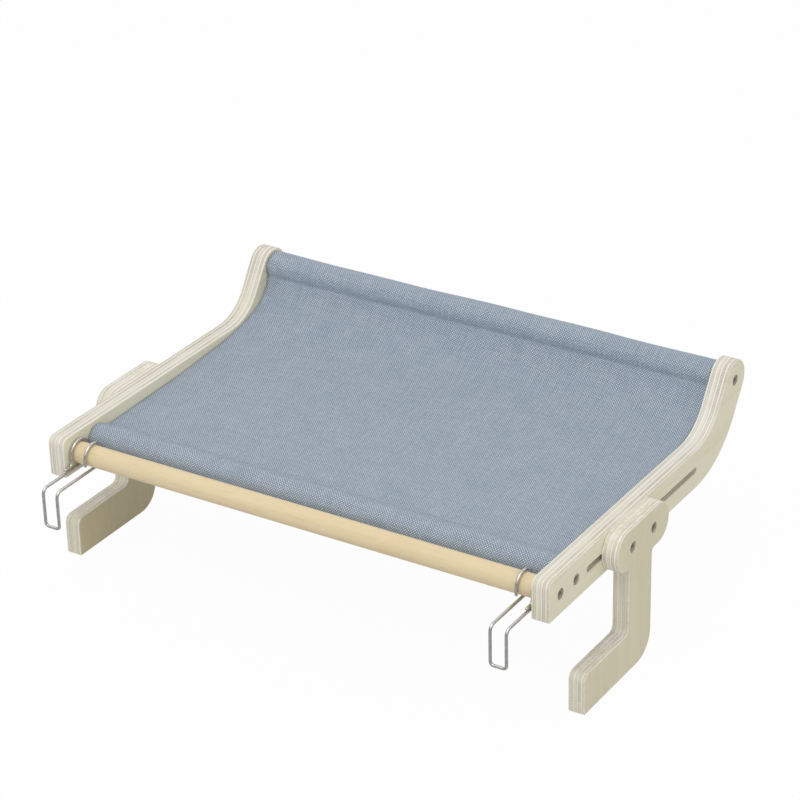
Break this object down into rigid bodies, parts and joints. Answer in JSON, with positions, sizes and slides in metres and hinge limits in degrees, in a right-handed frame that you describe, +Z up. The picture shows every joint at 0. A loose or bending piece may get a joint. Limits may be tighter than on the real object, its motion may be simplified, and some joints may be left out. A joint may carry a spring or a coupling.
{
  "type": "sill-hung cat hammock",
  "caption": "Cat hammock that hangs on a sill: bent plywood rails, round rods, stretched fabric bed, sliding bracing legs and turning wire hooks.",
  "frame": {"origin": "middle of the front rod's axis, on the plane of symmetry", "axes": "+X along the front rod to the right rail, +Y to the raised back, +Z up"},
  "size_m": [0.573, 0.414, 0.2049],
  "materials": {
    "rail_plywood": "birch plywood, sanded, clear matt oil, plies visible on the edges",
    "leg_plywood": "birch plywood, sanded, clear matt oil, plies visible on the edges",
    "beech": "turned beech, smooth, satin",
    "bed_fabric": "blue-grey plain weave with light and dark yarns",
    "bolt_steel": "zinc-plated steel, dull",
    "insert_brass": "turned brass",
    "hook_wire": "bright nickel-plated spring wire"
  },
  "bodies": {
    "root": {"side_rail_left": "rail_plywood", "side_rail_right": "rail_plywood", "front_rod": "beech", "sling_front_rod": "beech", "sling_back_rod": "beech", "sling": "bed_fabric", "front_rod_screws": "bolt_steel", "sling_front_rod_screws": "bolt_steel", "sling_back_rod_screws": "bolt_steel", "front_rod_inserts": "insert_brass", "sling_front_rod_inserts": "insert_brass", "sling_back_rod_inserts": "insert_brass"},
    "leg_left": {"leg_left": "leg_plywood", "leg_bolts_left": "bolt_steel", "leg_washers_left": "bolt_steel", "leg_nuts_left": "bolt_steel"},
    "leg_right": {"leg_right": "leg_plywood", "leg_bolts_right": "bolt_steel", "leg_washers_right": "bolt_steel", "leg_nuts_right": "bolt_steel"},
    "hook_left": {"hook_left": "hook_wire"},
    "hook_right": {"hook_right": "hook_wire"}
  },
  "joints": [
    {"name": "leg_left_slide", "type": "slide", "parent": "root", "child": "leg_left", "axis": [0, 1, 0], "range_m": [-0.052, 0.112]},
    {"name": "leg_right_slide", "type": "slide", "parent": "root", "child": "leg_right", "axis": [0, 1, 0], "range_m": [-0.052, 0.112]},
    {"name": "hook_left_turn", "type": "hinge", "parent": "root", "child": "hook_left", "pos_m": [-0.2413, 0, 0], "axis": [1, 0, 0], "range_deg": [-160, 97]},
    {"name": "hook_right_turn", "type": "hinge", "parent": "root", "child": "hook_right", "pos_m": [0.2413, 0, 0], "axis": [1, 0, 0], "range_deg": [-160, 97]}
  ]
}
